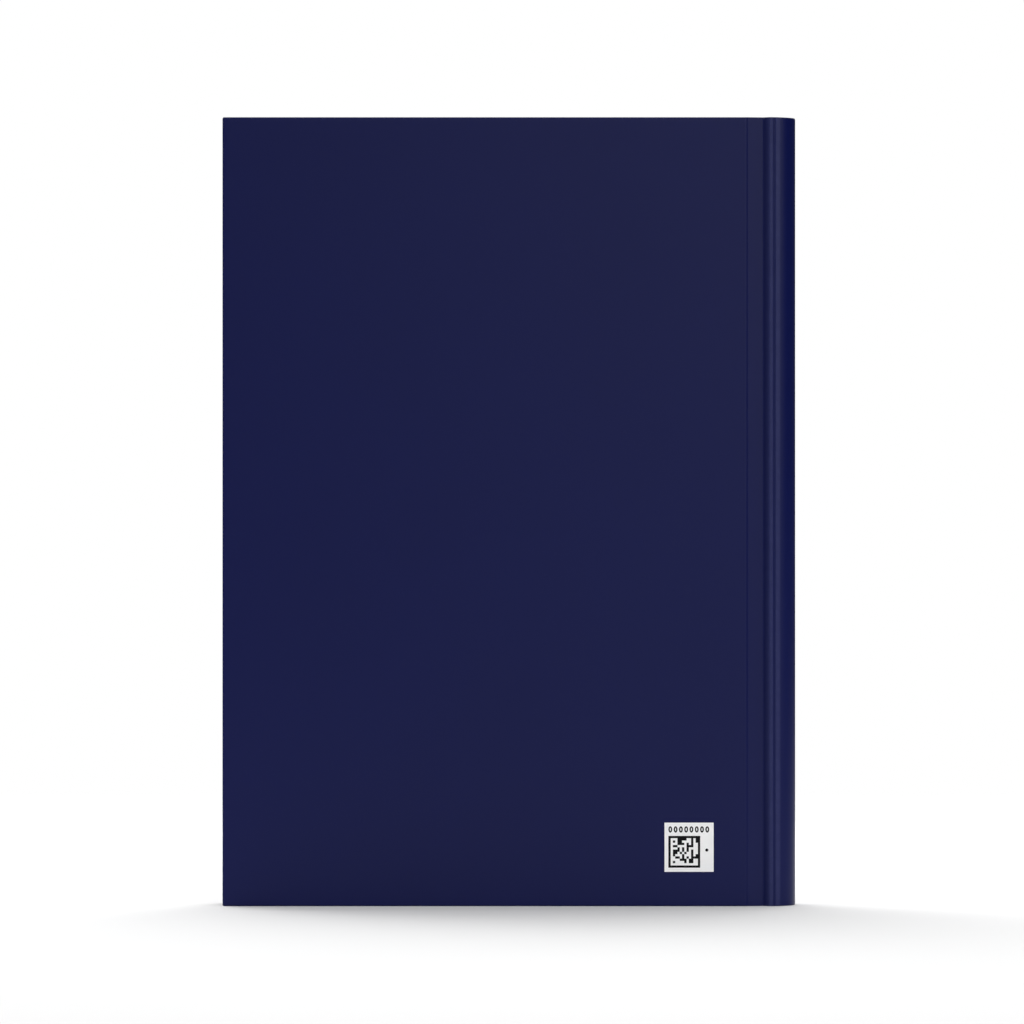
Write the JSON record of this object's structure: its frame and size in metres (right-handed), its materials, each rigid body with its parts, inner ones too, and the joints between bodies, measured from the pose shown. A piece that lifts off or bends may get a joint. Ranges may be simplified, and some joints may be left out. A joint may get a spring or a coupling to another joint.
{
  "type": "pilot logbook",
  "caption": "Hardback pilot logbook with a rounded spine, hinged covers, flyleaves and sewn sections of leaves that fan as a cover opens.",
  "frame": {"origin": "middle of the footprint of the closed book on the surface under its tail edge", "axes": "+Z from tail to head, +Y out of the front cover (the back cover faces -Y), +X from the fore edge to the spine"},
  "size_m": [0.1478, 0.0152, 0.2032],
  "materials": {
    "cover_paper": "matt-laminated navy cover paper",
    "greyboard": "raw grey binder's board",
    "endpaper": "heavy uncoated white endpaper",
    "page_paper": "uncoated ledger paper",
    "mull_cloth": "starched open-weave cotton",
    "kraft_paper": "brown kraft lining",
    "thread": "waxed binding thread",
    "band_cloth": "woven striped band"
  },
  "bodies": {
    "book_block": {"back_endpaper_joint": "endpaper", "front_endpaper_joint": "endpaper", "section_01_fold": "page_paper", "section_02_fold": "page_paper", "section_03_fold": "page_paper", "section_04": "page_paper", "section_05": "page_paper", "section_06": "page_paper", "section_07": "page_paper", "section_08_fold": "page_paper", "section_09_fold": "page_paper", "section_10_fold": "page_paper", "sewing_thread": "thread", "spine_mull": "mull_cloth", "spine_lining": "kraft_paper", "headband": "band_cloth", "tailband": "band_cloth", "spine_card": "greyboard", "spine_wrap": "cover_paper"},
    "back_cover": {"back_board": "greyboard", "back_cover_wrap": "cover_paper", "back_pastedown": "endpaper", "back_mull_flap": "mull_cloth"},
    "back_flyleaf": {"back_flyleaf": "endpaper"},
    "front_cover": {"front_board": "greyboard", "front_cover_wrap": "cover_paper", "front_pastedown": "endpaper", "front_mull_flap": "mull_cloth"},
    "front_flyleaf": {"front_flyleaf": "endpaper"},
    "section_01_leaves": {"section_01_leaves": "page_paper"},
    "section_02_leaves": {"section_02_leaves": "page_paper"},
    "section_03_leaves": {"section_03_leaves": "page_paper"},
    "section_08_leaves": {"section_08_leaves": "page_paper"},
    "section_09_leaves": {"section_09_leaves": "page_paper"},
    "section_10_leaves": {"section_10_leaves": "page_paper"}
  },
  "joints": [
    {"name": "back_cover_hinge", "type": "hinge", "parent": "book_block", "child": "back_cover", "pos_m": [0.0636, -0.0078, 0.1016], "axis": [0, 0, 1], "range_deg": [0, 178]},
    {"name": "back_flyleaf_turn", "type": "hinge", "parent": "book_block", "child": "back_flyleaf", "pos_m": [0.0595, -0.00436, 0.1016], "axis": [0, 0, 1], "range_deg": [0, 89]},
    {"name": "section_10_turn", "type": "hinge", "parent": "book_block", "child": "section_10_leaves", "pos_m": [0.0592, -0.00382, 0.1016], "axis": [0, 0, 1], "range_deg": [0, 39.16]},
    {"name": "section_09_turn", "type": "hinge", "parent": "book_block", "child": "section_09_leaves", "pos_m": [0.0592, -0.00298, 0.1016], "axis": [0, 0, 1], "range_deg": [0, 17.8]},
    {"name": "section_08_turn", "type": "hinge", "parent": "book_block", "child": "section_08_leaves", "pos_m": [0.0592, -0.00213, 0.1016], "axis": [0, 0, 1], "range_deg": [0, 8.01]},
    {"name": "front_cover_hinge", "type": "hinge", "parent": "book_block", "child": "front_cover", "pos_m": [0.0636, 0.0078, 0.1016], "axis": [0, 0, -1], "range_deg": [0, 178]},
    {"name": "front_flyleaf_turn", "type": "hinge", "parent": "book_block", "child": "front_flyleaf", "pos_m": [0.0595, 0.00436, 0.1016], "axis": [0, 0, -1], "range_deg": [0, 89]},
    {"name": "section_01_turn", "type": "hinge", "parent": "book_block", "child": "section_01_leaves", "pos_m": [0.0592, 0.00382, 0.1016], "axis": [0, 0, -1], "range_deg": [0, 39.16]},
    {"name": "section_02_turn", "type": "hinge", "parent": "book_block", "child": "section_02_leaves", "pos_m": [0.0592, 0.00298, 0.1016], "axis": [0, 0, -1], "range_deg": [0, 17.8]},
    {"name": "section_03_turn", "type": "hinge", "parent": "book_block", "child": "section_03_leaves", "pos_m": [0.0592, 0.00213, 0.1016], "axis": [0, 0, -1], "range_deg": [0, 8.01]}
  ],
  "couplings": [
    {"joint": "back_flyleaf_turn", "follows": "back_cover_hinge", "ratio": 0.5},
    {"joint": "section_10_turn", "follows": "back_cover_hinge", "ratio": 0.22},
    {"joint": "section_09_turn", "follows": "back_cover_hinge", "ratio": 0.1},
    {"joint": "section_08_turn", "follows": "back_cover_hinge", "ratio": 0.045},
    {"joint": "front_flyleaf_turn", "follows": "front_cover_hinge", "ratio": 0.5},
    {"joint": "section_01_turn", "follows": "front_cover_hinge", "ratio": 0.22},
    {"joint": "section_02_turn", "follows": "front_cover_hinge", "ratio": 0.1},
    {"joint": "section_03_turn", "follows": "front_cover_hinge", "ratio": 0.045}
  ]
}
